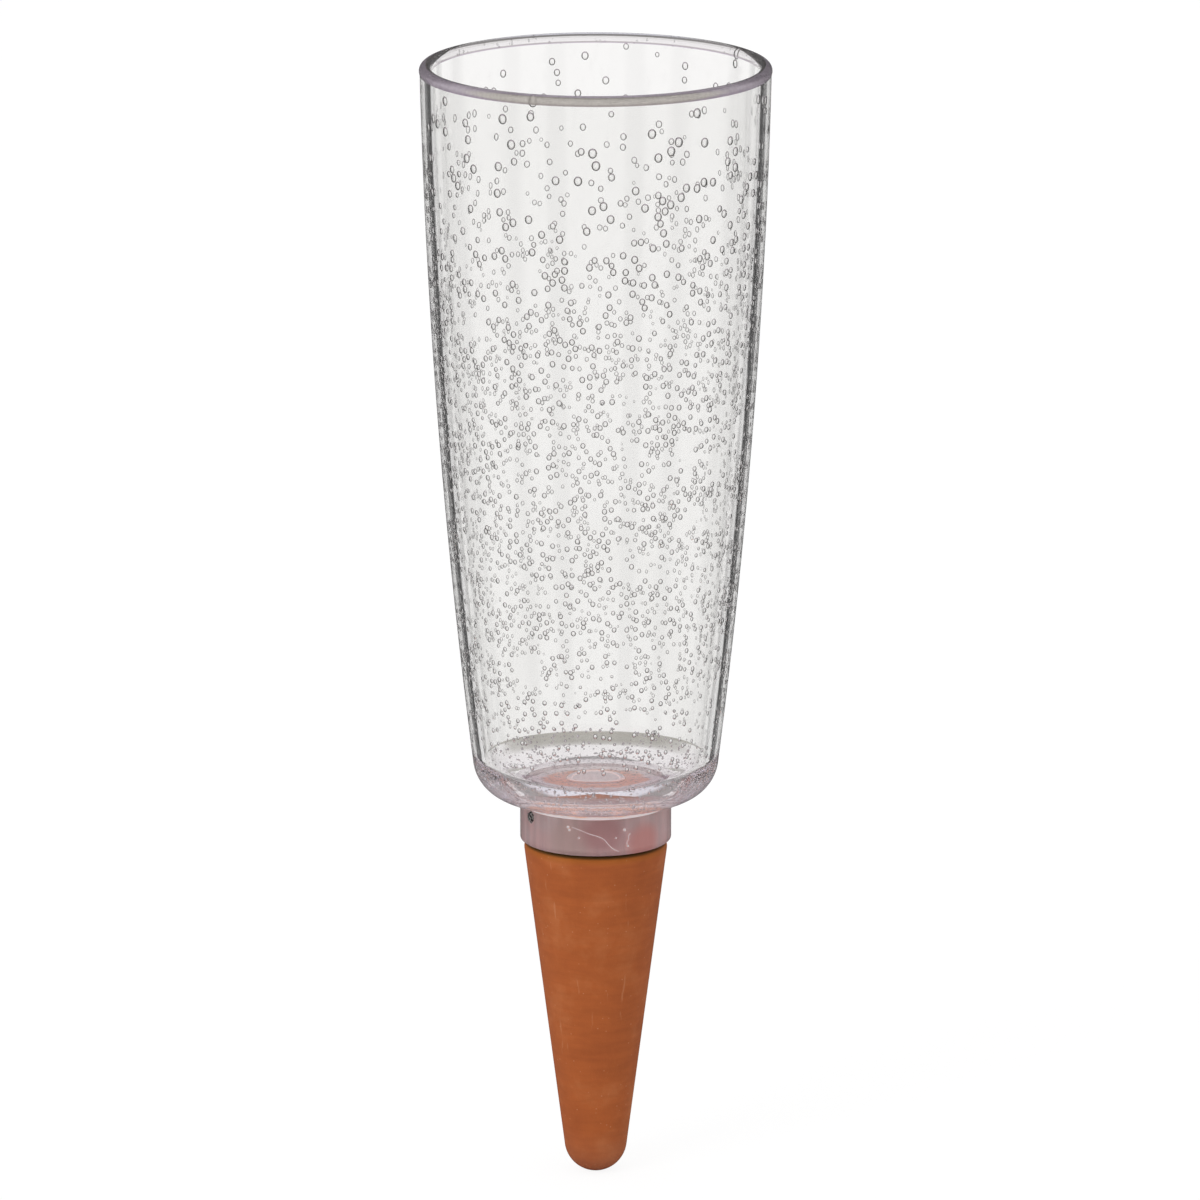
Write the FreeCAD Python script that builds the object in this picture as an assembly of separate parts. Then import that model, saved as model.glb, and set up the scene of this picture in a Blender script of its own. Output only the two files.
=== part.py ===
import FreeCAD, Part
import math
import os

# A self watering spike for a plant pot. A clear cup holds the water. A clear collar under
# the cup carries it on a hollow earthenware cone, which is pushed into the soil and lets
# the water out through its pores. Millimetres, +Z up. The origin is on the axis, at the
# collar's lower edge, which is where the spike meets the soil.

# Reservoir cup. Its side is one long arc, from a corner at the foot to the lip.
cup_height = 201.1       # base to crown of the lip
foot_radius = 31.95      # where the side, carried down, would meet the base
foot_lean = 7.31         # degrees that the side leans outward at the foot
mouth_radius = 46.87     # outside of the side, level with the middle of the lip
wall = 3.1
floor_thickness = 4.8
foot_round = 10.75       # outside, from base to side
floor_round = 9.0        # inside, from floor to side
lip_proud = 0.2          # the lip's bead stands this far out of the wall, each side

# Collar, with a web across its top and a spigot that passes up through the cup's floor.
collar_height = 12.0
collar_radius = 20.45
collar_round = 0.7       # lower outside edge
skirt_wall = 2.45
web = 2.0
spigot_radius = 8.0      # outside of the spigot
outlet_radius = 6.3      # its bore, which the water runs through
spigot_rise = 0.2        # how far it stands above the cup's floor
spigot_drop = 4.0        # how far it hangs below the web, into the cone
spigot_round = 0.4       # both edges of its upper end
bond_gap = 0.1           # between the spigot and the hole in the floor

# Bed of adhesive between collar and cone.
skirt_bed = 0.9          # thickness round the cone's neck
web_bed = 0.6            # thickness over the neck's end
mouth_bed = 0.35         # thickness between collar and shoulder
mouth_squeeze = 0.5      # how far it shows past the skirt's inside at the mouth
sleeve_length = 3.0      # how far it follows the spigot down from the web

# Earthenware cone, which is open at the top.
cone_length = 93.35      # shoulder to tip
shoulder_radius = 19.65  # where the taper, carried up, would meet the shoulder
shoulder_round = 2.0
tip_radius = 7.5         # where the taper, carried down, would meet the tip
tip_flat = 0.3           # height lost where the round tip is rubbed flat
neck_round = 0.8         # edges of the neck's end
cavity_radius = 8.6      # inside of the neck
cavity_end_radius = 3.4  # inside, at the lower end
tip_wall = 7.5           # clay below the cavity

overrun = 1.0            # how far a cutting shape runs past what it cuts
match = 0.01             # two sizes this near to each other are the same edge
room_share = 0.9         # of a face's width, the most that the rounding of its edge takes

floor_top = collar_height + floor_thickness
web_under = collar_height - web
skirt_radius = collar_radius - skirt_wall
neck_radius = skirt_radius - skirt_bed
neck_top = web_under - web_bed
shoulder_height = -mouth_bed
tip_height = shoulder_height - cone_length


def at(radius, height):
    """Point in the half plane that every outline is drawn in."""
    return FreeCAD.Vector(radius, 0, height)


def line(start, end):
    return Part.LineSegment(start, end).toShape()


def arc(start, middle, end):
    return Part.Arc(start, middle, end).toShape()


def turned(edges):
    """Solid turned about Z from a closed outline, whose edges come in order."""
    face = Part.Face(Part.Wire(edges))
    return face.revolve(at(0, 0), FreeCAD.Vector(0, 0, 1), 360)


def ring(inside, outside, bottom, top):
    """Plain ring with a square section."""
    corners = [at(inside, bottom), at(outside, bottom), at(outside, top), at(inside, top)]
    edges = [line(corner, corners[i - 3]) for i, corner in enumerate(corners)]
    return turned(edges)


def eased(solid, radius, height, round_size):
    """Round off the circular edge that lies at this radius and height."""
    edges = []
    for edge in solid.Edges:
        if edge.Degenerated or not isinstance(edge.Curve, Part.Circle):
            continue
        curve = edge.Curve
        if abs(curve.Radius - radius) < match and abs(curve.Center.z - height) < match:
            edges.append(edge)
    return solid.makeFillet(round_size, edges)


def side_centre_and_radius(lip_height):
    """Centre and radius of the arc that leaves the foot at its lean and ends at the lip.

    The radius is negative where the side would flare instead of bow.
    """
    lean = math.radians(foot_lean)
    run = mouth_radius - foot_radius
    rise = lip_height - collar_height
    half_turn = lean - math.atan2(run, rise)
    radius = math.hypot(run, rise) / (2 * math.sin(half_turn))
    centre = at(foot_radius, collar_height) + at(-math.cos(lean), math.sin(lean)) * radius
    return centre, radius


def side_point(centre, radius, inset, height):
    """Point of the side at a height, moved in from the outside by inset."""
    reach = math.sqrt((radius - inset) ** 2 - (height - centre.z) ** 2)
    return at(centre.x + math.copysign(reach, radius), height)


def reservoir_cup():
    """Tall cup with a rounded foot, a bead round its lip and a hole for the spigot."""
    lip_height = collar_height + cup_height - wall / 2 - lip_proud
    centre, radius = side_centre_and_radius(lip_height)
    half_height = (collar_height + lip_height) / 2
    half_inside = (floor_top + lip_height) / 2
    foot = at(foot_radius, collar_height)
    mouth = at(mouth_radius, lip_height)
    inner_mouth = side_point(centre, radius, wall, lip_height)
    inner_foot = side_point(centre, radius, wall, floor_top)
    hole_radius = spigot_radius + bond_gap
    hole_base = at(hole_radius, collar_height)
    hole_top = at(hole_radius, floor_top)

    outline = [
        line(hole_base, foot),
        arc(foot, side_point(centre, radius, 0, half_height), mouth),
        line(mouth, inner_mouth),
        arc(inner_mouth, side_point(centre, radius, wall, half_inside), inner_foot),
        line(inner_foot, hole_top),
        line(hole_top, hole_base),
    ]
    cup = turned(outline)
    cup = eased(cup, foot_radius, collar_height, foot_round)
    cup = eased(cup, inner_foot.x, floor_top, floor_round)

    lip_middle = (mouth.x + inner_mouth.x) / 2
    lip_size = (mouth.x - inner_mouth.x) / 2 + lip_proud
    bead = Part.makeTorus(lip_middle, lip_size, FreeCAD.Vector(0, 0, lip_height))
    return cup.fuse(bead).removeSplitter()


def collar():
    """Skirt and web in one piece with the spigot, open from end to end along the spigot."""
    spigot_top = floor_top + spigot_rise
    body = ring(outlet_radius, collar_radius, 0, collar_height)
    body = body.fuse(ring(outlet_radius, spigot_radius, web_under, spigot_top))
    body = body.cut(ring(spigot_radius, skirt_radius, -overrun, web_under))
    body = body.cut(ring(0, spigot_radius, -overrun, web_under - spigot_drop))
    body = body.removeSplitter()
    body = eased(body, collar_radius, 0, collar_round)
    body = eased(body, spigot_radius, spigot_top, spigot_round)
    return eased(body, outlet_radius, spigot_top, spigot_round)


def clay_cone():
    """Hollow tapered cone with a round tip, a shoulder and a neck that goes into the collar."""
    slope = (shoulder_radius - tip_radius) / cone_length
    taper = math.atan(slope)
    ball = math.cos(taper) * (tip_radius - slope * tip_flat) / (1 - math.sin(taper))
    ball_height = tip_height + ball - tip_flat
    flat_radius = math.sqrt(ball ** 2 - (ball - tip_flat) ** 2)
    flat_edge = at(flat_radius, tip_height)
    tangent = at(ball * math.cos(taper), ball_height - ball * math.sin(taper))
    between = (math.atan2(flat_edge.z - ball_height, flat_radius) - taper) / 2
    middle = at(ball * math.cos(between), ball_height + ball * math.sin(between))
    shoulder = at(shoulder_radius, shoulder_height)
    neck_foot = at(neck_radius, shoulder_height)
    neck_end = at(neck_radius, neck_top)

    outline = [
        line(at(0, tip_height), flat_edge),
        arc(flat_edge, middle, tangent),
        line(tangent, shoulder),
        line(shoulder, neck_foot),
        line(neck_foot, neck_end),
        line(neck_end, at(0, neck_top)),
        line(at(0, neck_top), at(0, tip_height)),
    ]
    cone = turned(outline).cut(cone_cavity())
    room = (shoulder_radius - neck_radius) * math.tan((math.pi / 2 - taper) / 2)
    cone = eased(cone, shoulder_radius, shoulder_height, min(shoulder_round, room_share * room))
    cone = eased(cone, neck_radius, neck_top, neck_round)
    return eased(cone, cavity_radius, neck_top, neck_round)


def cone_cavity():
    """The hollow inside the cone, a slimmer cone with a round lower end."""
    end_height = tip_height + tip_wall
    end_centre = end_height + cavity_end_radius
    diagonal = cavity_end_radius * math.sqrt(0.5)
    low = at(0, end_height)
    side_foot = at(cavity_end_radius, end_centre)
    mouth = at(cavity_radius, neck_top)
    outline = [
        arc(low, at(diagonal, end_centre - diagonal), side_foot),
        line(side_foot, mouth),
        line(mouth, at(0, neck_top)),
        line(at(0, neck_top), low),
    ]
    return turned(outline)


def adhesive_bed(cone):
    """What fills the space between collar and cone, and shows as a thin line at the mouth."""
    squeeze_radius = skirt_radius + mouth_squeeze
    bed = ring(cavity_radius, skirt_radius, shoulder_height, web_under)
    bed = bed.fuse(ring(spigot_radius, cavity_radius, web_under - sleeve_length, web_under))
    bed = bed.fuse(ring(neck_radius, squeeze_radius, shoulder_height, 0))
    return bed.removeSplitter().cut(cone)


def write(node, shape):
    """Write one sub-part, and say how big it is."""
    shape.exportStep(os.path.join("parts", node + ".step"))
    box = shape.BoundBox
    print(node, "solids", len(shape.Solids), "valid", shape.isValid(), "volume", round(shape.Volume, 1),
          "size", round(box.XLength, 2), round(box.YLength, 2), round(box.ZLength, 2))


def main():
    os.makedirs("parts", exist_ok=True)
    cone = clay_cone()
    write("reservoir_cup", reservoir_cup())
    write("collar", collar())
    write("clay_cone", cone)
    write("adhesive_bed", adhesive_bed(cone))


main()
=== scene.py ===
# %% [markdown]
# # A self watering spike
# The real object is three pieces. A tall clear cup holds the water, a clear collar under it
# carries it, and a hollow cone of unglazed earthenware goes into the soil and lets the water
# out through its pores. A milky adhesive holds the cone in the collar. Nothing moves.
#
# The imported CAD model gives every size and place. It is loaded first and stays fixed. Clear
# plastic bends light by its surface normals, and the CAD nodes are loose triangles with flat
# facets, so each piece is turned again here from the same sizes, with finer steps, and stands
# for its CAD node.

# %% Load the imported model
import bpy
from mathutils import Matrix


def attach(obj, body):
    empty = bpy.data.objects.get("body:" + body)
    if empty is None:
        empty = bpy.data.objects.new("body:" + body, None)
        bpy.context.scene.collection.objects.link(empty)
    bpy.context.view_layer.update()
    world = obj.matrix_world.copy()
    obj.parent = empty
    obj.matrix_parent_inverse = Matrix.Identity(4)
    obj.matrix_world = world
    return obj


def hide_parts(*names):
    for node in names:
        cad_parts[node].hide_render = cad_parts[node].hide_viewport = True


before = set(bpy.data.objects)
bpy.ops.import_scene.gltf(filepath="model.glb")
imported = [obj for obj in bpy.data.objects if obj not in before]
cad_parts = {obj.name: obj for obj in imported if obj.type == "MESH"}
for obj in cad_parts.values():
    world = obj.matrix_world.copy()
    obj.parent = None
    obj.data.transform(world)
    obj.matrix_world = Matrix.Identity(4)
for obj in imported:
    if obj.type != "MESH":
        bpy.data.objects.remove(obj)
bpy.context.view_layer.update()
print("CAD nodes:", ", ".join(sorted(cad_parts)))

# %% [markdown]
# ## Units and tools
# Blender works in metres, and the sizes below are in millimetres, as in the CAD source. Every
# piece of this object is round, so its form is an outline in the half plane of radius and
# height, which is then spun about the Z axis. The outline is drawn as a chain: a straight run
# adds one vertex and an edge, and an arc spins the last vertex about its centre. That keeps
# fillets exact, which a bevel of coarse corners would not, and glass shows every error.

# %% Modules, units and the outline's tools
import math
import random

import bmesh
import bpy
from mathutils import Matrix, Vector, noise

MM = 0.001
ABOUT_Z = (0, 0, 1)
IN_HALF_PLANE = (0, -1, 0)  # turns anticlockwise, with radius to the right and height up
MERGE = 0.001 * MM
CREASE = math.radians(20)


def outline(*moves, closed=True):
    """Draw an outline from its moves, in millimetres and degrees.

    A pair is a radius and a height, which a straight line runs to. A triple is an arc, with the
    centre that it goes about, its turn and its steps.
    """
    form = bmesh.new()
    first = last = form.verts.new((moves[0][0] * MM, 0, moves[0][1] * MM))
    for move in moves[1:]:
        if len(move) == 2:
            point = form.verts.new((move[0] * MM, 0, move[1] * MM))
            form.edges.new((last, point))
            last = point
        else:
            centre, turn, steps = move
            made = bmesh.ops.spin(form, geom=[last], cent=(centre[0] * MM, 0, centre[1] * MM),
                                  axis=IN_HALF_PLANE, angle=math.radians(turn), steps=steps)
            last = next(item for item in made["geom_last"] if isinstance(item, bmesh.types.BMVert))
    if closed:
        form.edges.new((last, first))
    return form


def turned(form, steps):
    """Spin an outline about Z into a solid's skin."""
    bmesh.ops.spin(form, geom=form.verts[:] + form.edges[:], cent=(0, 0, 0),
                   axis=ABOUT_Z, angle=math.tau, steps=steps, use_merge=True)
    return form


def placed(name, data):
    """Make an object of its data and put it in the scene."""
    thing = bpy.data.objects.new(name, data)
    bpy.context.scene.collection.objects.link(thing)
    return thing


def finished(name, form, material, slot, *nodes, crease=CREASE):
    """Make the object of a form, shade it smooth but for its creases, and put it on the body."""
    bmesh.ops.remove_doubles(form, verts=form.verts, dist=MERGE)
    bmesh.ops.recalc_face_normals(form, faces=form.faces)
    mesh = bpy.data.meshes.new(name)
    form.to_mesh(mesh)
    form.free()
    mesh.shade_smooth()
    mesh.set_sharp_from_angle(angle=crease)
    mesh.materials.append(material)
    piece = placed(name, mesh)
    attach(piece, "root")
    if nodes:
        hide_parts(*nodes)
    low, high = (Vector(corner) / MM for corner in (piece.bound_box[0], piece.bound_box[6]))
    print(f"{name}: {len(mesh.polygons)} faces, {high.x - low.x:.2f} mm wide, "
          f"{low.z:.2f} to {high.z:.2f} mm high")
    return piece


# %% [markdown]
# ## Tools for finishes
# A finish is a small tree of shader nodes. One function adds any node, with its settings, its
# numbers and its links, so that each tree reads from top to bottom. Colours are written as the
# hex values that a picture of the material shows, and one function turns them linear. The
# node used most is Map Range, whose inputs go by number: 0 is the value, 1 and 2 are the range
# that it comes from, and 3 and 4 the range that it is turned into.

# %% The node tool and the colour tool
def linear(hex_colour):
    """Turn an sRGB hex colour into the linear numbers that shaders use."""
    channels = [int(hex_colour[i:i + 2], 16) / 255 for i in (0, 2, 4)]
    return (*(c / 12.92 if c <= 0.04045 else ((c + 0.055) / 1.055) ** 2.4 for c in channels), 1)


def add(tree, kind, inputs=(), stops=(), **settings):
    """Add a node. An input is a value, or the socket that feeds it. Stops fill a colour ramp."""
    node = tree.nodes.new("ShaderNode" + kind)
    for name, value in settings.items():
        setattr(node, name, value)
    for name, value in dict(inputs).items():
        if isinstance(value, bpy.types.NodeSocket):
            tree.links.new(value, node.inputs[name])
        else:
            node.inputs[name].default_value = value
    if stops:
        elements = node.color_ramp.elements
        for place, colour in stops[2:]:
            elements.new(place)
        for element, (place, colour) in zip(elements, sorted(stops)):
            element.position, element.color = place, colour
    return node


def new_material(name):
    """An empty node tree and the material that holds it."""
    material = bpy.data.materials.new(name)
    material.use_nodes = True
    material.node_tree.nodes.clear()
    return material, material.node_tree


# %% [markdown]
# ## Clear moulded plastic
# The cup and the collar are injection moulded styrene plastic, a clear and glossy material
# that bends light more than acrylic does, with an index of 1.57. It could be painted as a pale
# see-through colour, but then its thick foot and its edges would look like film. As a real
# refracting solid it gives the dark lines along its sides and the bright foot by itself, and the
# ring of the spigot with the help of a weak painted glow. Moulding leaves faint flow lines along
# the wall, which are drawn as a very shallow bump, stretched along Z, about 6 mm wide and 60 mm
# long. A hundredth part of the light scatters on fine dust and scratches. It hardly shows on a
# straight look through, but it lights the lip and the foot, where light runs to and fro in the
# plastic many times. The renderer follows such light for 12 turns by default, which leaves those
# places black, so it gets more.

# %% Clear styrene plastic
STYRENE_INDEX = 1.57
FLOW_WIDTH = 6.0
FLOW_LENGTH = 60.0
FLOW_DEPTH = 0.1
SCATTER = 0.012
LIGHT_TURNS = 48
CLEAR_TINT = "FDFDFC"

cycles = bpy.context.scene.cycles
cycles.max_bounces = cycles.transmission_bounces = cycles.glossy_bounces = LIGHT_TURNS


def clear_styrene(name, tint, flow_strength):
    """Plastic with a smooth skin and faint flow lines."""
    material, tree = new_material(name)
    place = add(tree, "TexCoord")
    along = add(tree, "Mapping", {"Vector": place.outputs["Object"],
                                  "Scale": (1 / (FLOW_WIDTH * MM), 1 / (FLOW_WIDTH * MM),
                                            1 / (FLOW_LENGTH * MM))})
    flow = add(tree, "TexNoise", {"Vector": along.outputs["Vector"], "Scale": 1.0, "Detail": 2.0})
    bump = add(tree, "Bump", {"Height": flow.outputs["Fac"], "Strength": flow_strength,
                              "Distance": FLOW_DEPTH * MM})
    plastic = add(tree, "BsdfPrincipled", {"Base Color": linear(tint), "Roughness": 0.0,
                                           "IOR": STYRENE_INDEX, "Transmission Weight": 1 - SCATTER,
                                           "Normal": bump.outputs["Normal"]})
    add(tree, "OutputMaterial", {"Surface": plastic.outputs["BSDF"]})
    return material


cup_plastic = clear_styrene("clear_styrene_moulded", CLEAR_TINT, flow_strength=0.15)
collar_plastic = clear_styrene("clear_styrene_collar", "FCFAFB", flow_strength=0.3)
print("plastics:", cup_plastic.name, collar_plastic.name)

# %% [markdown]
# ## The cup's hazy places
# Three places of the cup aren't quite clear. The lip's outer half is hazy with very fine
# bubbles, beige where it is faced and mauve edge on. The outside of the foot is hazy too, and
# its haze fades out upward. The flat of the floor is satin, as the end of a mould's core is
# seldom polished. A matt share of the skin stands for all three. It is there on the outside
# only, so that light inside passes freely.

# %% Hazy finishes of the same plastic
FROTH = 0.9  # millimetres across a patch of fine bubbles
INSIDE_TINT = "F2EEF1"


def hazy_styrene(name, faced, edge_on, spread, haze, roughness, fade=None, glow=0.0):
    """Plastic that is matt in part, on its outside only, in one colour faced and another edge on.

    Where fade gives two heights, the haze is full at the first and gone at the second.
    """
    material, tree = new_material(name)
    place = add(tree, "TexCoord")
    froth = add(tree, "TexNoise", {"Vector": place.outputs["Object"], "Scale": 1 / (FROTH * MM),
                                   "Detail": 3.0})
    grain = add(tree, "MapRange", {0: froth.outputs["Fac"], 1: 0.35, 2: 0.65, 3: 0.9, 4: 1.06})
    tilt = add(tree, "LayerWeight", {"Blend": 0.5})
    tone = add(tree, "ValToRGB", {"Fac": tilt.outputs["Facing"]},
               stops=[(spread[0], linear(faced)), (spread[1], linear(edge_on))])
    grained = add(tree, "Mix", {"Factor": 1.0, "A": tone.outputs["Color"], "B": grain.outputs[0]},
                  data_type="RGBA", blend_type="MULTIPLY")
    side = add(tree, "NewGeometry")
    clear = add(tree, "MapRange", {0: side.outputs["Backfacing"], 3: 1 - haze, 4: 1.0})
    tinted = add(tree, "Mix", {"Factor": side.outputs["Backfacing"], "A": grained.outputs[2],
                               "B": linear(INSIDE_TINT)}, data_type="RGBA")
    if fade:
        parts = add(tree, "SeparateXYZ", {0: place.outputs["Object"]})
        risen = add(tree, "MapRange", {0: parts.outputs["Z"], 1: fade[0] * MM, 2: fade[1] * MM})
        clear = add(tree, "MapRange", {0: risen.outputs[0], 3: clear.outputs[0], 4: 1.0})
        tinted = add(tree, "Mix", {"Factor": risen.outputs[0], "A": tinted.outputs[2],
                                   "B": linear(CLEAR_TINT)}, data_type="RGBA")
    plastic = add(tree, "BsdfPrincipled", {"Base Color": tinted.outputs[2], "Roughness": roughness,
                                           "IOR": STYRENE_INDEX, "Transmission Weight": clear.outputs[0],
                                           "Emission Color": linear(faced), "Emission Strength": glow})
    add(tree, "OutputMaterial", {"Surface": plastic.outputs["BSDF"]})
    return material


lip_plastic = hazy_styrene("clear_styrene_hazy_lip", faced="ABA59E", edge_on="A79CA8",
                           spread=(0.22, 0.36), haze=0.5, roughness=0.2)
floor_plastic = hazy_styrene("clear_styrene_satin_floor", faced="F6EEF3", edge_on="E8DCE3",
                             spread=(0.3, 0.9), haze=0.25, roughness=0.03)
foot_plastic = hazy_styrene("clear_styrene_hazy_foot", faced="F4ECF0", edge_on="E4DAE2",
                            spread=(0.3, 0.9), haze=0.3, roughness=0.02, fade=(16.0, 23.0))
# The spigot's weak glow stands for the light that the plastic carries up to its end.
spigot_plastic = hazy_styrene("clear_styrene_satin_spigot", faced="FBF2F4", edge_on="E6DAE0",
                              spread=(0.3, 0.9), haze=0.5, roughness=0.1, glow=0.2)
print("hazy plastics:", lip_plastic.name, floor_plastic.name, foot_plastic.name, spigot_plastic.name)

# %% [markdown]
# ## The cup
# The side is one long arc from foot to lip, so the cup widens fast at the foot and less and
# less toward the lip. Both faces of the wall are arcs about the same centre. A foot 10.75 mm
# round outside and a 9 mm round inside make the base thick at its corner, and that thick
# corner is what gathers the light there. The lip is a bead that stands 0.2 mm proud. The whole
# section is one closed outline, so that one spin makes both skins and their normals agree.

# %% Cup sizes, in millimetres, as in the CAD source
base_height = 12.0
cup_height = 201.1
foot_radius = 31.95
foot_lean = math.radians(7.31)
mouth_radius = 46.87
wall = 3.1
floor_thickness = 4.8
foot_round = 10.75
floor_round = 9.0
lip_proud = 0.2
hole_radius = 8.1

lip_height = base_height + cup_height - wall / 2 - lip_proud
floor_top = base_height + floor_thickness
run, rise = mouth_radius - foot_radius, lip_height - base_height
half_turn = foot_lean - math.atan2(run, rise)
side_radius = math.hypot(run, rise) / (2 * math.sin(half_turn))
side_centre = Vector((foot_radius - side_radius * math.cos(foot_lean),
                      base_height + side_radius * math.sin(foot_lean)))


def side_reach(inset, height):
    """Radius of the wall's face at a height, moved in from the outside by inset."""
    return side_centre.x + math.sqrt((side_radius - inset) ** 2 - (height - side_centre.y) ** 2)


def angle_from_side_centre(point):
    return math.degrees(math.atan2(point[1] - side_centre.y, point[0] - side_centre.x))


print(f"the side's arc has a radius of {side_radius:.0f} mm")

# %% The lip's bead
lip = Vector((mouth_radius / 2 + side_reach(wall, lip_height) / 2, lip_height))
bead = (mouth_radius - side_reach(wall, lip_height)) / 2 + lip_proud


def bead_angle(inset):
    """Angle round the lip's middle at which its bead meets a face of the wall."""
    away = lip - side_centre
    cosine = (bead ** 2 + away.length ** 2 - (side_radius - inset) ** 2) / (2 * bead * away.length)
    return math.degrees(math.atan2(away.y, away.x) + math.acos(cosine)) - 180


def on_bead(angle):
    return lip + bead * Vector((math.cos(math.radians(angle)), math.sin(math.radians(angle))))


bead_from, bead_to = bead_angle(0), bead_angle(wall) + 360
print(f"the bead is {2 * bead:.2f} mm thick and turns {bead_to - bead_from:.0f} degrees")

# %% Cup outline, spun into the cup
ROUND_STEPS = 24
SIDE_STEPS = 40
TURN_STEPS = 240

foot_centre = (side_reach(foot_round, base_height + foot_round), base_height + foot_round)
corner_centre = (side_reach(wall + floor_round, floor_top + floor_round), floor_top + floor_round)
foot_end = angle_from_side_centre(foot_centre)
side_end = angle_from_side_centre(on_bead(bead_from))
inner_side_end = angle_from_side_centre(on_bead(bead_to))
corner_end = angle_from_side_centre(corner_centre)

cup_form = outline(
    (hole_radius, base_height),
    (foot_centre[0], base_height),
    (foot_centre, 90 + foot_end, ROUND_STEPS),
    (side_centre, side_end - foot_end, SIDE_STEPS),
    (lip, bead_to - bead_from, ROUND_STEPS),
    (side_centre, corner_end - inner_side_end, SIDE_STEPS),
    (corner_centre, -90 - corner_end, ROUND_STEPS),
    (hole_radius, floor_top))
cup = finished("cup", turned(cup_form, TURN_STEPS), cup_plastic, "clear_bubbled_plastic",
               "reservoir_cup")

# %% Which of the cup's faces are hazy
LEVEL_SLACK = 0.01  # millimetres by which a face may lie off the floor's level
FACE_SLACK = 0.1    # and by which a flat face lies inside its round
HAZE_RISE = 0.5     # how far over the foot's centre its own finish goes on

for finish in (lip_plastic, floor_plastic, foot_plastic):
    cup.data.materials.append(finish)
for face in cup.data.polygons:
    middle = face.center / MM
    from_foot = Vector((middle.xy.length, middle.z)) - Vector(foot_centre)
    if middle.z > on_bead(bead_from).y and middle.xy.length > lip.x:
        face.material_index = 1
    elif abs(middle.z - floor_top) < LEVEL_SLACK and face.normal.z > 0:
        face.material_index = 2
    elif from_foot.x > 0 and from_foot.y < HAZE_RISE and from_foot.length > foot_round - FACE_SLACK:
        face.material_index = 3
print("faces of the clear, lip, floor and foot finish:",
      [sum(face.material_index == i for face in cup.data.polygons) for i in range(4)])

# %% [markdown]
# ## The collar
# A skirt and a web in one piece with a spigot, which passes up through the cup's floor and
# stands 0.2 mm above it. The web is welded to the cup's base. Two faces in one place would
# flicker, so the web goes 0.02 mm into the base: light then bends in at one face and out again
# at the other, and passes the weld as straight as it does in one piece. A film of air there
# would act as a mirror and hide the collar from above. The spigot's end and bore are satin, with
# a weak painted glow, which together make them show as a pale ring in the floor.

# %% Collar
SMALL_STEPS = ROUND_STEPS // 3

collar_radius = 20.45
collar_round = 0.7
skirt_radius = 18.0
web_under = 10.0
weld_depth = 0.02
spigot_radius = 8.0
outlet_radius = 6.3
spigot_rise = 0.2
spigot_end = 6.0
spigot_round = 0.4
web_top = base_height + weld_depth
spigot_top = floor_top + spigot_rise
skirt_corner = (collar_radius - collar_round, collar_round)
spigot_corner = (spigot_radius - spigot_round, spigot_top - spigot_round)
outlet_corner = (outlet_radius + spigot_round, spigot_top - spigot_round)

collar_form = outline(
    (skirt_radius, 0),
    (skirt_corner[0], 0),
    (skirt_corner, 90, SMALL_STEPS),
    (collar_radius, web_top),
    (spigot_radius, web_top),
    (spigot_radius, spigot_corner[1]),
    (spigot_corner, 90, SMALL_STEPS),
    (outlet_corner[0], spigot_top),
    (outlet_corner, 90, SMALL_STEPS),
    (outlet_radius, spigot_end),
    (spigot_radius, spigot_end),
    (spigot_radius, web_under),
    (skirt_radius, web_under))
collar = finished("collar_clear", turned(collar_form, TURN_STEPS), collar_plastic, "clear_plastic",
                  "collar")

# %% Which of the collar's faces are satin
collar.data.materials.append(spigot_plastic)
for face in collar.data.polygons:
    middle = face.center / MM
    in_bore = middle.xy.length < outlet_radius + FACE_SLACK
    if middle.xy.length < spigot_radius and (middle.z > floor_top or in_bore):
        face.material_index = 1
print(sum(face.material_index for face in collar.data.polygons), "faces of the spigot are satin")

# %% [markdown]
# ## Air bubbles
# The plastic of the cup is foamed a little on purpose, and what shows is the bubbles: about
# four thousand, over 2 mm wide and sparse near the lip, about 1.2 mm and dense in the middle,
# and finer toward the foot. A bump or a dotted picture on the wall would stay flat, so each
# bubble is a small sphere of air inside the plastic. Light that leaves plastic for air bends
# the other way, which a glass shader does with an index under 1. Near its edge a bubble is a
# mirror, and that makes its ring.
#
# Real air would make each ring a third of the bubble's width. On the object the rings are thin
# lines, as most bubbles are flattened in the wall's plane by the moulding. A weaker index gives
# round spheres that same thin ring, whose grey is painted shade toward each bubble's edge. The
# fine bubbles of the thick foot are round and glint, so they keep the true index.

# %% Air finish
FLAT_BUBBLE_INDEX = 0.9
RING_FROM, RING_TO = 0.38, 0.72  # how far edge on the ring's colour starts, and is full
RING_DRIFT = 9.0                 # millimetres across a patch with wider or thinner rings
DRIFT_SHARE = 0.08


def air_inside(name, index, ring):
    """Air in plastic, which loses light toward its edge, where it shows a ring of this colour."""
    material, tree = new_material(name)
    place = add(tree, "TexCoord")
    drift = add(tree, "TexNoise", {"Vector": place.outputs["Object"], "Scale": 1 / (RING_DRIFT * MM),
                                   "Detail": 1.0})
    uneven = add(tree, "MapRange", {0: drift.outputs["Fac"], 1: 0.35, 2: 0.65,
                                    3: DRIFT_SHARE, 4: -DRIFT_SHARE})
    tilt = add(tree, "LayerWeight", {"Blend": 0.5})
    edge = add(tree, "Math", {0: tilt.outputs["Facing"], 1: uneven.outputs[0]}, operation="ADD")
    # Painted shade: toward the bubble's edge the air's colour turns to the ring's grey.
    ring_shade = add(tree, "ValToRGB", {"Fac": edge.outputs[0]},
                stops=[(RING_FROM, linear("FFFFFF")), (RING_TO, linear(ring))])
    inside = add(tree, "BsdfGlass", {"Color": ring_shade.outputs["Color"], "Roughness": 0.0, "IOR": index})
    add(tree, "OutputMaterial", {"Surface": inside.outputs["BSDF"]})
    return material


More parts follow.
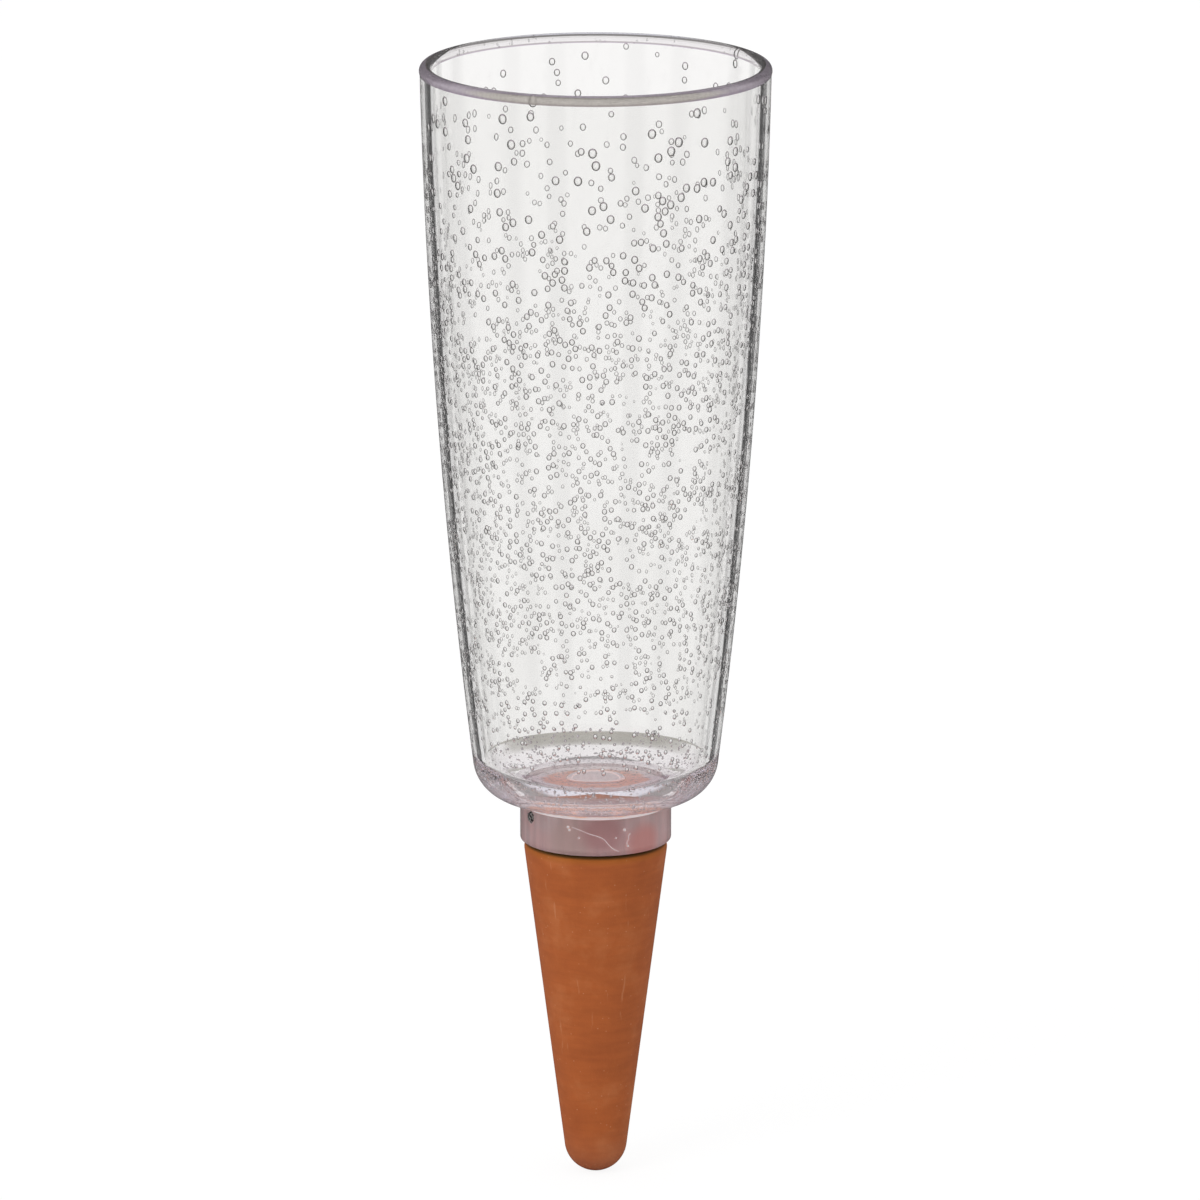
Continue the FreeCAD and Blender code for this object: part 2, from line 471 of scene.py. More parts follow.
air = air_inside("air_in_styrene_flat_bubbles", FLAT_BUBBLE_INDEX, "9E9997")
round_air = air_inside("air_in_styrene_round_bubbles", 1 / STYRENE_INDEX, "E8E4E6")
print("bubbles bend light with an index of", FLAT_BUBBLE_INDEX, "and", round(1 / STYRENE_INDEX, 3))

# %% [markdown]
# ## Where the bubbles are
# A table gives the bubbles' width and crowding by height, and a slow noise gathers them in
# patches. Positions come from one seeded draw, so each run gives the same cup. Each bubble is
# put a little under the skin, and one that would touch its neighbour is left out, because
# overlapping spheres would bend light twice. To test that fast, each bubble is filed in a cell
# of a coarse grid, and only its own cell and those beside it are searched.

# %% Table of the bubbles
# Heights are shares from base to lip. Widths are in millimetres, crowds per square centimetre.
height_shares = (0.00, 0.06, 0.12, 0.25, 0.40, 0.55, 0.70, 0.80, 0.90, 0.96, 1.00)
bubble_widths = (0.80, 0.95, 1.02, 1.10, 1.16, 1.22, 1.36, 1.64, 1.94, 2.08, 2.15)
bubble_crowds = (8.0, 15.0, 23.0, 26.0, 27.0, 25.5, 19.0, 10.0, 5.00, 2.60, 0.80)
SKIN = 0.12  # millimetres of plastic over each bubble
CELL = 2.6   # across a cell of the grid


def between(shares, values, share):
    """Read a table of values at a share, in straight lines between its rows."""
    for i in range(1, len(shares)):
        if share <= shares[i]:
            part = (share - shares[i - 1]) / (shares[i] - shares[i - 1])
            return values[i - 1] + (values[i] - values[i - 1]) * part
    return values[-1]


def has_room(taken, centre, radius):
    """Whether a bubble touches none of those in its cell and the cells beside it."""
    cell = [int(c // CELL) for c in centre]
    for x in (-1, 0, 1):
        for y in (-1, 0, 1):
            for z in (-1, 0, 1):
                for other, size in taken.get((cell[0] + x, cell[1] + y, cell[2] + z), ()):
                    if (other - centre).length < size + radius + SKIN / 2:
                        return False
    taken.setdefault(tuple(cell), []).append((centre, radius))
    return True


def on_ring(reach, turn, height):
    return Vector((reach * math.cos(turn), reach * math.sin(turn), height))


print(f"bubbles are {bubble_widths[0]} to {bubble_widths[-1]} mm wide")

# %% Bubbles in the wall
SEED = 740
SQUARE_CENTIMETRE = 100  # in square millimetres
CLUSTER = 9.0            # millimetres across a crowded patch
PLAIN_CROWD, PATCH_CROWD = 0.55, 0.9
FRONT_SWELL = 0.1        # bubbles at the front are wider by this share
WIDEST_SHARE, FINER_SHARE = 1.08, 0.5

draw = random.Random(SEED)
taken = {}
bubbles = []
inner_floor = floor_top + floor_round
wall_area = math.tau * mouth_radius * (lip_height - inner_floor)
for _ in range(int(wall_area / SQUARE_CENTIMETRE * max(bubble_crowds))):
    height = draw.uniform(inner_floor, lip_height)
    turn = draw.uniform(0, math.tau)
    share = (height - base_height) / (lip_height - base_height)
    crowd = between(height_shares, bubble_crowds, share) * side_reach(0, height) / mouth_radius
    patch = noise.noise(Vector((turn * mouth_radius, height, 0)) / CLUSTER)
    if draw.random() * max(bubble_crowds) > crowd * (PLAIN_CROWD + PATCH_CROWD * patch):
        continue
    front = 1 - FRONT_SWELL * math.sin(turn)
    radius = between(height_shares, bubble_widths, share) / 2 * front
    radius *= WIDEST_SHARE - FINER_SHARE * draw.random() ** 3
    radius = min(radius, wall / 2 - SKIN)
    reach = side_reach(0, height) - draw.uniform(radius + SKIN, wall - radius - SKIN)
    centre = on_ring(reach, turn, height)
    if has_room(taken, centre, radius):
        bubbles.append((centre, radius))
print(len(bubbles), "bubbles in the wall")

# %% Bubbles in the foot and the lip
BUBBLE_TALL = 1.15  # bubbles are drawn out a little along the flow of the plastic
FOOT_TRIES = 1400
FOOT_SIZES = (0.16, 0.46)
FOOT_DEPTH = 2.2    # millimetres under the skin that they reach, most of them less
BASE_SHARE = 0.3    # of them, these lie over the flat of the base
HUB_MARGIN = 2
LIP_TRIES = 90
LIP_SIZES = (0.1, 0.28)
LIP_SHARE = 0.7     # of the bead's thickness, what the lip's bubbles fill

foot_bubbles = []
for _ in range(FOOT_TRIES):
    turn = draw.uniform(0, math.tau)
    radius = draw.uniform(*FOOT_SIZES)
    swing = math.radians(draw.uniform(-90, 0))
    depth = radius * BUBBLE_TALL + SKIN + FOOT_DEPTH * draw.random() ** 2
    reach = foot_centre[0] + (foot_round - depth) * math.cos(swing)
    height = foot_centre[1] + (foot_round - depth) * math.sin(swing)
    if draw.random() < BASE_SHARE:
        reach = draw.uniform(spigot_radius + HUB_MARGIN, foot_centre[0])
        height = base_height + depth
    centre = on_ring(reach, turn, height)
    if has_room(taken, centre, radius):
        foot_bubbles.append((centre, radius))

for _ in range(LIP_TRIES):
    turn = draw.uniform(0, math.tau)
    radius = draw.uniform(*LIP_SIZES)
    reach = lip.x + draw.uniform(-1, 1) * (bead - radius - SKIN) * LIP_SHARE
    height = lip.y + draw.uniform(-1, 1) * (bead - radius - SKIN) * LIP_SHARE
    centre = on_ring(reach, turn, height)
    if has_room(taken, centre, radius):
        bubbles.append((centre, radius))
print(len(bubbles), "bubbles in wall and lip,", len(foot_bubbles), "in the foot")

# %% [markdown]
# ## The bubbles' meshes
# A sphere of 8 by 6 steps is enough at this size, as its shading is smooth. Thousands of
# objects would be slow, so each group is one mesh. An operator walks all of the mesh that it
# adds to, and gets slower with every sphere. So the spheres are made in small batches, and
# each batch is then added to the whole.

# %% Bubbles blown
BATCH = 25
SEGMENTS = 8
RINGS = 6


def blow(name, some, material):
    """Make one mesh of many bubbles."""
    whole = bmesh.new()
    batch = bpy.data.meshes.new("batch")
    for start in range(0, len(some), BATCH):
        few = bmesh.new()
        for centre, radius in some[start:start + BATCH]:
            stretch = Matrix.Scale(BUBBLE_TALL, 4, ABOUT_Z)
            bmesh.ops.create_uvsphere(few, u_segments=SEGMENTS, v_segments=RINGS, radius=radius * MM,
                                      matrix=Matrix.Translation(centre * MM) @ stretch)
        few.to_mesh(batch)
        few.free()
        whole.from_mesh(batch)
    bpy.data.meshes.remove(batch)
    return finished(name, whole, material, "clear_bubbled_plastic", crease=math.pi)


bubbles.sort(key=lambda bubble: bubble[0].z)
half = len(bubbles) // 2
blow("bubbles_lower", bubbles[:half], air)
blow("bubbles_upper", bubbles[half:], air)
blow("bubbles_foot", foot_bubbles, round_air)

# %% [markdown]
# ## Fired clay
# The cone is cast from red clay slip, dried and fired without a glaze, so it is matt and
# open-pored. Firing leaves slow clouds of paler clay, and the damp sponge that smoothed it
# leaves strokes round the cone. Over that lie pale specks and long scratches, and the tip is
# worn darker. The top is painted yellower, as a glow just under the collar, and the band just
# under the collar's edge is dark with glue stain and with painted shade of the gap.
# Each is a coat of colour over the last.

# %% Clay body, with its clouds and strokes
CLOUD = 16.0   # millimetres across a cloud of paler clay
WIPE = 1.6     # across a stroke of the sponge that smoothed the wet clay
WIPE_LONG = 6  # times as long as it is wide

clay, tree = new_material("red_earthenware_unglazed")
place = add(tree, "TexCoord").outputs["Object"]
parts = add(tree, "SeparateXYZ", {0: place})
cloud = add(tree, "TexNoise", {"Vector": place, "Scale": 1 / (CLOUD * MM), "Detail": 5.0,
                               "Roughness": 0.62})
body = add(tree, "ValToRGB", {"Fac": cloud.outputs["Fac"]},
           stops=[(0.28, linear("9D5128")), (0.50, linear("A7582B")), (0.66, linear("B06539")),
                  (0.78, linear("B87348"))])
around = add(tree, "Mapping", {"Vector": place,
                               "Scale": (1 / (WIPE_LONG * WIPE * MM), 1 / (WIPE_LONG * WIPE * MM),
                                         1 / (WIPE * MM))})
wiped = add(tree, "TexNoise", {"Vector": around.outputs["Vector"], "Scale": 1.0, "Detail": 3.0,
                               "Distortion": 0.6})
wiping = add(tree, "MapRange", {0: wiped.outputs["Fac"], 1: 0.3, 2: 0.7, 3: 0.94, 4: 1.05})
wiped_body = add(tree, "Mix", {"Factor": 1.0, "A": body.outputs["Color"], "B": wiping.outputs[0]},
                 data_type="RGBA", blend_type="MULTIPLY")
print("clay:", clay.name)

# %% Specks and scratches of the clay
SPECKLE = 2.2      # millimetres between specks
SCRATCH_WIDTH = 5  # a scratch is only the crest of the noise, and much finer than this
SCRATCH_LENGTH = 70
SCRATCH_TILT = (0.5, 0.4, 0.0)  # in radians

specks = add(tree, "TexVoronoi", {"Vector": place, "Scale": 1 / (SPECKLE * MM), "Randomness": 1.0})
spots = add(tree, "MapRange", {0: specks.outputs["Distance"], 1: 0.05, 2: 0.11, 3: 0.5, 4: 0.0})
scratch_way = add(tree, "Mapping", {"Vector": place, "Rotation": SCRATCH_TILT,
                                    "Scale": (1 / (SCRATCH_WIDTH * MM), 1 / (SCRATCH_WIDTH * MM),
                                              1 / (SCRATCH_LENGTH * MM))})
scratch = add(tree, "TexNoise", {"Vector": scratch_way.outputs["Vector"], "Scale": 2.0, "Detail": 6.0})
line = add(tree, "MapRange", {0: scratch.outputs["Fac"], 1: 0.66, 2: 0.69, 3: 0.0, 4: 0.35})
coats = [(spots, "C58A64"), (line, "BE8059")]
print("specks", SPECKLE, "mm apart")

# %% Worn tip, painted glow, stain and painted shade at the top, and grain of the clay
# Each mark is full at its first height and gone at its second, in millimetres. Then come its
# strength and its colour.
marks = (("worn tip", -94.0, -80.0, 0.5, "935A42"),
         # Painted light: the next mark tints the top of the cone yellower, as a painted glow just under
         # the collar.
         ("glowing top", -1.6, -3.2, 0.4, "A2621A"),
         # The next mark is glue stain with painted shade of the gap just under the collar's edge.
         ("stained and shaded edge", -0.9, -1.5, 0.85, "3C3212"))
GRAIN = 0.45  # across a grain; real grains are finer, and would only shimmer at this size
GRAIN_DEPTH = 0.1
STROKE_SHARE = 0.35  # of the relief, what the sponge's strokes give

for name, full, gone, strength, colour in marks:
    cover = add(tree, "MapRange", {0: parts.outputs["Z"], 1: gone * MM, 2: full * MM,
                                   3: 0.0, 4: strength})
    coats.append((cover, colour))
    print(f"{name}: from {gone} to {full} mm")
coat = wiped_body
for cover, colour in coats:
    coat = add(tree, "Mix", {"Factor": cover.outputs[0], "A": coat.outputs[2],
                             "B": linear(colour)}, data_type="RGBA")
grain = add(tree, "TexNoise", {"Vector": place, "Scale": 1 / (GRAIN * MM), "Detail": 3.0})
relief = add(tree, "Mix", {"Factor": STROKE_SHARE, "A": grain.outputs["Fac"], "B": wiped.outputs["Fac"]})
bump = add(tree, "Bump", {"Height": relief.outputs["Result"], "Strength": 0.5,
                          "Distance": GRAIN_DEPTH * MM})
fired = add(tree, "BsdfPrincipled", {"Base Color": coat.outputs[2], "Roughness": 0.88,
                                     "Specular IOR Level": 0.3, "Normal": bump.outputs["Normal"]})
add(tree, "OutputMaterial", {"Surface": fired.outputs["BSDF"]})

# %% [markdown]
# ## The earthenware cone
# The outline follows the CAD cone: a round tip that is rubbed flat, a straight taper, a rounded
# shoulder, and a neck that goes up into the collar. The taper is drawn in forty short runs,
# because one long and narrow face would stretch the shading of the bump.

# %% Cone sizes, in millimetres, as in the CAD source
cone_length = 93.35
shoulder_height = -0.35
shoulder_radius = 19.65
shoulder_round = 2.0
tip_radius = 7.5
tip_flat = 0.3
neck_radius = 17.1
neck_top = 9.4
neck_round = 0.8
cavity_radius = 8.6
cavity_end_radius = 3.4
tip_wall = 7.5

tip_height = shoulder_height - cone_length
slope = (shoulder_radius - tip_radius) / cone_length
taper = math.degrees(math.atan(slope))
lean = math.radians(taper)
ball = math.cos(lean) * (tip_radius - slope * tip_flat) / (1 - math.sin(lean))
ball_height = tip_height + ball - tip_flat
flat_angle = math.degrees(math.asin((tip_height - ball_height) / ball))
shoulder_reach = shoulder_radius - shoulder_round * math.tan(math.radians((90 + taper) / 2))
shoulder_centre = Vector((shoulder_reach, shoulder_height - shoulder_round))
neck_corner = (neck_radius - neck_round, neck_top - neck_round)
cavity_corner = (cavity_radius + neck_round, neck_top - neck_round)
cavity_end = tip_height + tip_wall
print(f"the cone tapers by {taper:.2f} degrees, and its tip is {ball:.2f} mm round")

# %% Cone outline, spun into the cone
square_to_side = Vector((math.cos(lean), -math.sin(lean)))
start = Vector((0, ball_height)) + ball * square_to_side
end = shoulder_centre + shoulder_round * square_to_side
cone_form = outline(
    (0, tip_height),
    (ball * math.cos(math.radians(flat_angle)), tip_height),
    ((0, ball_height), -taper - flat_angle, ROUND_STEPS),
    *(start.lerp(end, step / SIDE_STEPS) for step in range(1, SIDE_STEPS + 1)),
    (shoulder_centre, 90 + taper, ROUND_STEPS // 2),
    (neck_radius, shoulder_height),
    (neck_radius, neck_corner[1]),
    (neck_corner, 90, SMALL_STEPS),
    (cavity_corner[0], neck_top),
    (cavity_corner, 90, SMALL_STEPS),
    (cavity_end_radius, cavity_end + cavity_end_radius),
    ((0, cavity_end + cavity_end_radius), -90, SMALL_STEPS),
    closed=False)
finished("cone", turned(cone_form, TURN_STEPS // 2), clay, "earthenware", "clay_cone")

# %% [markdown]
# ## Seeing through the collar
# The collar is a thick round lens, so a thing on the adhesive doesn't show where it is. To
# place a blotch or a thread by where it shows, the bending of light is worked out backwards:
# in at the collar's outside, through its wall and out at the skirt's inside.

# %% Where things show through the collar
def seen_at(offset, height, depth=0.0):
    """Place on the bed's front that shows this far from the middle, through the collar's lens."""
    entry = math.asin(offset / collar_radius)
    bent = math.asin(offset / (STYRENE_INDEX * collar_radius))
    met = math.asin(offset / (STYRENE_INDEX * skirt_radius))
    turn = entry - bent + met
    reach = skirt_radius + depth
    return Vector((reach * math.sin(turn), -reach * math.cos(turn), height)) * MM


BLOT_CORE = 0.35  # of its size, what a patch covers in full


def blot(tree, place, centre, size, strength):
    """How much a soft round patch covers a point."""
    away = add(tree, "VectorMath", {0: place, 1: centre}, operation="DISTANCE")
    return add(tree, "MapRange", {0: away.outputs["Value"], 1: BLOT_CORE * size * MM, 2: size * MM,
                                  3: strength, 4: 0.0}, interpolation_type="SMOOTHSTEP")


print(f"what shows 10 mm right of the middle lies {seen_at(10, 0).x / MM:.1f} mm right of it")

# %% [markdown]
# ## Milky adhesive
# A hot-melt adhesive is a soft and milky plastic. Behind the collar it is wet, without a film
# of air, and so looks far darker than in the open. Its colours are therefore written nearly
# white, and show as mauve. It is streaked along the way that the cone was pushed in, blotched
# where it is thick or thin, whitest on the top that the web presses, and pulled thin round the
# middle, where the clay's colour comes through. It has a weak painted glow, strongest on its
# top. At the collar's mouth it is painted dark, as shade in the gap between collar and cone.

# %% Streaks and blotches of the adhesive
SWIRL = 9.0   # millimetres across a patch of paler adhesive
STREAK = 2.2  # across a streak
STREAK_LENGTH = 40
BLOTCH_STRENGTH = 0.8
# How far right of the middle each blotch shows, its height, its size and its colour.
blotches = ((-7, 3.0, 9, "ECCFC6"), (13, 2.5, 7, "FFB2A8"), (2, 6.0, 8, "DDA3A1"))

glue, tree = new_material("milky_hot_melt_adhesive")
place = add(tree, "TexCoord").outputs["Object"]
parts = add(tree, "SeparateXYZ", {0: place})
swirl = add(tree, "TexNoise", {"Vector": place, "Scale": 1 / (SWIRL * MM), "Detail": 3.0,
                               "Roughness": 0.5})
mixed = add(tree, "ValToRGB", {"Fac": swirl.outputs["Fac"]},
            stops=[(0.30, linear("FCD2CE")), (0.50, linear("FFDCD8")), (0.70, linear("FFE6E3"))])
upright = add(tree, "Mapping", {"Vector": place, "Scale": (1 / (STREAK * MM), 1 / (STREAK * MM),
                                                           1 / (STREAK_LENGTH * MM))})
streak = add(tree, "TexNoise", {"Vector": upright.outputs["Vector"], "Scale": 1.0, "Detail": 2.0})
streaks = add(tree, "MapRange", {0: streak.outputs["Fac"], 1: 0.35, 2: 0.65, 3: 0.9, 4: 1.08})
streaked = add(tree, "Mix", {"Factor": 1.0, "A": mixed.outputs["Color"], "B": streaks.outputs[0]},
               data_type="RGBA", blend_type="MULTIPLY")
coats = [(blot(tree, place, seen_at(offset, height), size, BLOTCH_STRENGTH), colour)
         for offset, height, size, colour in blotches]
print(glue.name, "has", len(blotches), "blotches")

# %% Pressed top, clay that shows, and painted shade at the mouth
TOP_FROM, TOP_FULL = 9.7, 9.9      # heights in millimetres
CLAY_FULL, CLAY_GONE = 18.6, 20.2  # radii, each less what the ragged noise adds
RAGGED = 4.5                       # across a tooth of the ragged edge
RAGGED_DEPTH = 9.0
MOUTH_SHADE = 0.15

upper = add(tree, "MapRange", {0: parts.outputs["Z"], 1: TOP_FROM * MM, 2: TOP_FULL * MM,
                               3: 0.0, 4: 0.85})
flat = add(tree, "CombineXYZ", {0: parts.outputs["X"], 1: parts.outputs["Y"]})
reach = add(tree, "VectorMath", {0: flat.outputs[0]}, operation="LENGTH")
ragged = add(tree, "TexNoise", {"Vector": place, "Scale": 1 / (RAGGED * MM), "Detail": 5.0,
                                "Roughness": 0.65})
edge = add(tree, "Math", {0: ragged.outputs["Fac"], 1: RAGGED_DEPTH * MM, 2: reach.outputs["Value"]},
           operation="MULTIPLY_ADD")
bare = add(tree, "MapRange", {0: edge.outputs[0], 1: CLAY_FULL * MM, 2: CLAY_GONE * MM, 3: 0.95, 4: 0.0})
# Painted shade: the adhesive at the collar's mouth turns dark olive, as the gap between collar and cone
# lies in shade.
mouth_shade = add(tree, "MapRange", {0: parts.outputs["Z"], 1: 0.0, 2: MOUTH_SHADE * MM, 3: 1.0, 4: 0.0})
coats += [(upper, "FFF8F9"), (bare, "FFB48A"), (mouth_shade, "2E2A12")]
coat = streaked
for cover, colour in coats:
    coat = add(tree, "Mix", {"Factor": cover.outputs[0], "A": coat.outputs[2],
                             "B": linear(colour)}, data_type="RGBA")
# The weak glow stands for the light that soaks through the milky adhesive, most on its top.
glow = add(tree, "MapRange", {0: parts.outputs["Z"], 1: TOP_FROM * MM, 2: TOP_FULL * MM,
                              3: 0.06, 4: 0.5})
set_glue = add(tree, "BsdfPrincipled", {"Base Color": coat.outputs[2], "Roughness": 0.5,
                                        "Emission Color": coat.outputs[2],
                                        "Emission Strength": glow.outputs[0]})
add(tree, "OutputMaterial", {"Surface": set_glue.outputs["BSDF"]})
print(glue.name, "has", len(coats), "coats")

# %% [markdown]
# ## The adhesive bed
# The adhesive fills the space between collar and cone, and follows the spigot a little way
# down. It wets the plastic, so seen through the collar it spreads to the collar's very edges.
# Its outer faces are set 0.02 mm into the plastic for that, which leaves no film of air.

# %% Adhesive bed
wetting = 0.02
mouth_squeeze = 0.5
sleeve_end = 7.0
bed_radius = skirt_radius + wetting
bed_top = web_under + wetting
squeeze_radius = skirt_radius + mouth_squeeze
sleeve_radius = spigot_radius - wetting

bed_form = outline(
    (neck_radius, shoulder_height),
    (squeeze_radius, shoulder_height),
    (squeeze_radius, -wetting),
    (bed_radius, -wetting),
    (bed_radius, bed_top),
    (sleeve_radius, bed_top),
    (sleeve_radius, sleeve_end),
    (cavity_radius, sleeve_end),
    (cavity_radius, cavity_corner[1]),
    (cavity_corner, -90, SMALL_STEPS),
    (neck_corner[0], neck_top),
    (neck_corner, -90, SMALL_STEPS))
finished("adhesive", turned(bed_form, TURN_STEPS // 2), glue, "hot_melt_adhesive", "adhesive_bed")

# %% [markdown]
# ## What the adhesive left
# Hot melt adhesive draws threads as the nozzle leaves it, and one such thread lies across the
# front, with a curl, some beads, and a void on the left that the adhesive didn't fill. They
# are small, but they tell that the cone is glued and not screwed. The thread could be a chain
# of edges with a skin. It is a curve with a bevel instead, which keeps an even thickness.

# %% Thread and curl
THREAD_WIDTH = 0.22
THREAD_DEPTH = 0.12
THREAD_PATCH = 1.5  # millimetres across a paler place of the thread

thread_paint, tree = new_material("drawn_hot_melt_thread")
place = add(tree, "TexCoord")
uneven = add(tree, "TexNoise", {"Vector": place.outputs["Object"], "Scale": 1 / (THREAD_PATCH * MM),
                                "Detail": 2.0})
pale = add(tree, "ValToRGB", {"Fac": uneven.outputs["Fac"]},
           stops=[(0.35, linear("EEDCDD")), (0.65, linear("FBF6F4"))])
# The weak glow stands for the glint that the lamp gives it through the plastic.
drawn = add(tree, "BsdfPrincipled", {"Base Color": pale.outputs["Color"], "Roughness": 0.35,
                                     "Emission Color": pale.outputs["Color"], "Emission Strength": 0.3})
add(tree, "OutputMaterial", {"Surface": drawn.outputs["BSDF"]})


def thread(name, route):
    """Lay a thread. Each point is how far right of the middle it shows, and its height."""
    curve = bpy.data.curves.new(name, "CURVE")
    curve.dimensions = "3D"
    curve.bevel_depth = THREAD_WIDTH / 2 * MM
    curve.bevel_resolution = 2  # enough for a tube as thin as this
    spline = curve.splines.new("NURBS")
    spline.points.add(len(route) - 1)
    for knot, (offset, height) in zip(spline.points, route):
        knot.co = (*seen_at(offset, height, depth=THREAD_DEPTH), 1)
    spline.use_endpoint_u = True
    spline.order_u = 3
    curve.use_fill_caps = True
    curve.materials.append(thread_paint)
    piece = placed(name, curve)
    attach(piece, "root")
    print(f"{name}: {len(route)} points")


thread("adhesive_thread", ((-6.4, 7.6), (-4.0, 6.9), (-1.6, 5.9), (0.4, 5.4), (2.2, 4.6),
                           (3.4, 3.0), (4.6, 1.6), (6.2, 0.9)))
thread("adhesive_curl", ((9.3, 5.6), (8.6, 4.9), (8.9, 4.0), (8.2, 3.3), (8.5, 2.3)))

# %% Beads
BEAD_DEPTH = 0.2
# How far right of the middle each bead shows, its height and its radius.
bead_places = ((-7.4, 7.6, 0.40), (-7.0, 6.8, 0.34), (-4.5, 4.8, 0.32),
               (7.7, 6.8, 0.44), (5.4, 4.7, 0.28), (8.6, 2.2, 0.30))

bead_form = bmesh.new()
for offset, height, size in bead_places:
    bmesh.ops.create_icosphere(bead_form, subdivisions=3, radius=size * MM,
                               matrix=Matrix.Translation(seen_at(offset, height, depth=BEAD_DEPTH)))
finished("adhesive_beads", bead_form, thread_paint, "hot_melt_adhesive", crease=math.pi)

# %% Void
VOID_GRAIN = 0.7  # millimetres across a dark or a bright place in the void
VOID_OFFSET, VOID_HEIGHT = -17.3, 8.0
void_size = (1.9, 1.2, 1.75)

# The void is painted: near black for the shade inside it, with pale patches as painted glints.
void_shade_paint, tree = new_material("unfilled_void_painted_shade")
place = add(tree, "TexCoord")
gloom = add(tree, "TexVoronoi", {"Vector": place.outputs["Object"], "Scale": 1 / (VOID_GRAIN * MM)})
shade_and_glints = add(tree, "ValToRGB", {"Fac": gloom.outputs["Distance"]},
             stops=[(0.25, linear("0E0F0D")), (0.5, linear("3A3F3A")), (0.75, linear("D8DCD6"))])
hollow = add(tree, "BsdfPrincipled", {"Base Color": shade_and_glints.outputs["Color"], "Roughness": 0.2})
add(tree, "OutputMaterial", {"Surface": hollow.outputs["BSDF"]})

void_form = bmesh.new()
bmesh.ops.create_icosphere(void_form, subdivisions=1, radius=1.0 * MM)
void_place = Matrix.Translation(seen_at(VOID_OFFSET, VOID_HEIGHT, depth=BEAD_DEPTH))
bmesh.ops.transform(void_form, matrix=void_place @ Matrix.Diagonal((*void_size, 1.0)),
                    verts=void_form.verts)
finished("adhesive_void", void_form, void_shade_paint, "hot_melt_adhesive")

# %% [markdown]
# ## The studio's world
# Clear plastic has no colour of its own and shows only what is round it, so a glass
# photographer lights the backdrop and stands dark cards beside it. The world does the same
# for rays that come out of the plastic, alike from every quarter, and gives plain even light
# to everything else. To the camera itself it is white.

# %% What stands round the plastic, by elevation
world = bpy.data.worlds.new("studio")
bpy.context.scene.world = world
world.use_nodes = True
tree = world.node_tree
tree.nodes.clear()


def level(degrees):
    """Place of an elevation on the ramp from straight down to straight up."""
    return (math.sin(math.radians(degrees)) + 1) / 2


def grey(value):
    return (value, value, value, 1)


# Each row is an elevation and what stands there: the lit table, its dark edge, the backdrop
# with a thin grey seam, and a lilac ceiling.
surroundings = ((-90, "EEF0FA"), (-58, "E8E9F2"), (-50, "8E8C8C"), (-32, "848280"),
                (-31, "FCFBFB"), (-24.6, "FCFBFB"), (-24.4, "B0AEA6"),
                (-22.9, "B0AEA6"), (-22.6, "FCFBFB"), (3, "FCFBFB"),
                (7, "B4B0AC"), (14, "CFC3D2"), (40, "DDD2DE"), (90, "EBDFE6"))
way = add(tree, "TexCoord")
parts = add(tree, "SeparateXYZ", {0: way.outputs["Generated"]})
up = add(tree, "MapRange", {0: parts.outputs["Z"], 1: -1.0, 2: 1.0})
sky = add(tree, "ValToRGB", {"Fac": up.outputs[0]},
          stops=[(level(degrees), linear(colour)) for degrees, colour in surroundings])
print("world:", world.name, "with", len(surroundings), "elevations")

# %% Dark cards beside the backdrop
LEAD = 28.0                        # cards stand this many degrees to each side of a straight look
CARD_INNER, CARD_OUTER = 5.0, 9.0  # degrees from a card's middle, dark and clear
NEAR_CARD, FAR_CARD = 0.5, 0.06    # what a card lets through, toward the camera and away
CARD_FOOT = (-32, -26)             # elevations over which a card comes up from the table
CARD_TOP = (2, 6)                  # and over which it ends

angle = add(tree, "Math", {0: parts.outputs["Y"], 1: parts.outputs["X"]}, operation="ARCTAN2")
quarter = add(tree, "Math", {0: angle.outputs[0], 1: math.pi / 4}, operation="PINGPONG")
off = add(tree, "Math", {0: quarter.outputs[0], 1: math.radians(LEAD)}, operation="SUBTRACT")
far = add(tree, "Math", {0: off.outputs[0]}, operation="ABSOLUTE")
depth = add(tree, "MapRange", {0: parts.outputs["Y"], 1: 0.1, 2: 0.6, 3: NEAR_CARD, 4: FAR_CARD})
card = add(tree, "MapRange", {0: far.outputs[0], 1: math.radians(CARD_INNER),
                              2: math.radians(CARD_OUTER), 3: depth.outputs[0], 4: 1.0},
           interpolation_type="SMOOTHSTEP")
standing = add(tree, "ValToRGB", {"Fac": up.outputs[0]},
               stops=[(level(CARD_FOOT[0]), grey(0)), (level(CARD_FOOT[1]), grey(1)),
                      (level(CARD_TOP[0]), grey(1)), (level(CARD_TOP[1]), grey(0))])
seen = add(tree, "Mix", {"Factor": standing.outputs["Color"], "A": sky.outputs["Color"],
                         "B": card.outputs[0]}, data_type="RGBA", blend_type="MULTIPLY")
print("the cards stand", LEAD, "degrees off a straight look")

# %% Which ray sees what of the world
EVEN_LIGHT = 0.8
GLOSS_LIGHT = 0.1

rays = add(tree, "LightPath")
even = add(tree, "Background", {"Color": grey(1.0), "Strength": EVEN_LIGHT})
gloss = add(tree, "Background", {"Color": grey(1.0), "Strength": GLOSS_LIGHT})
through = add(tree, "Background", {"Color": seen.outputs[2], "Strength": 1.0})
backdrop = add(tree, "Background", {"Color": grey(1.0), "Strength": 1.0})
one = add(tree, "MixShader", {0: rays.outputs["Is Glossy Ray"], 1: even.outputs[0], 2: gloss.outputs[0]})
two = add(tree, "MixShader", {0: rays.outputs["Is Transmission Ray"], 1: one.outputs[0],
                              2: through.outputs[0]})
three = add(tree, "MixShader", {0: rays.outputs["Is Camera Ray"], 1: two.outputs[0],
                                2: backdrop.outputs[0]})
add(tree, "OutputWorld", {"Surface": three.outputs[0]})

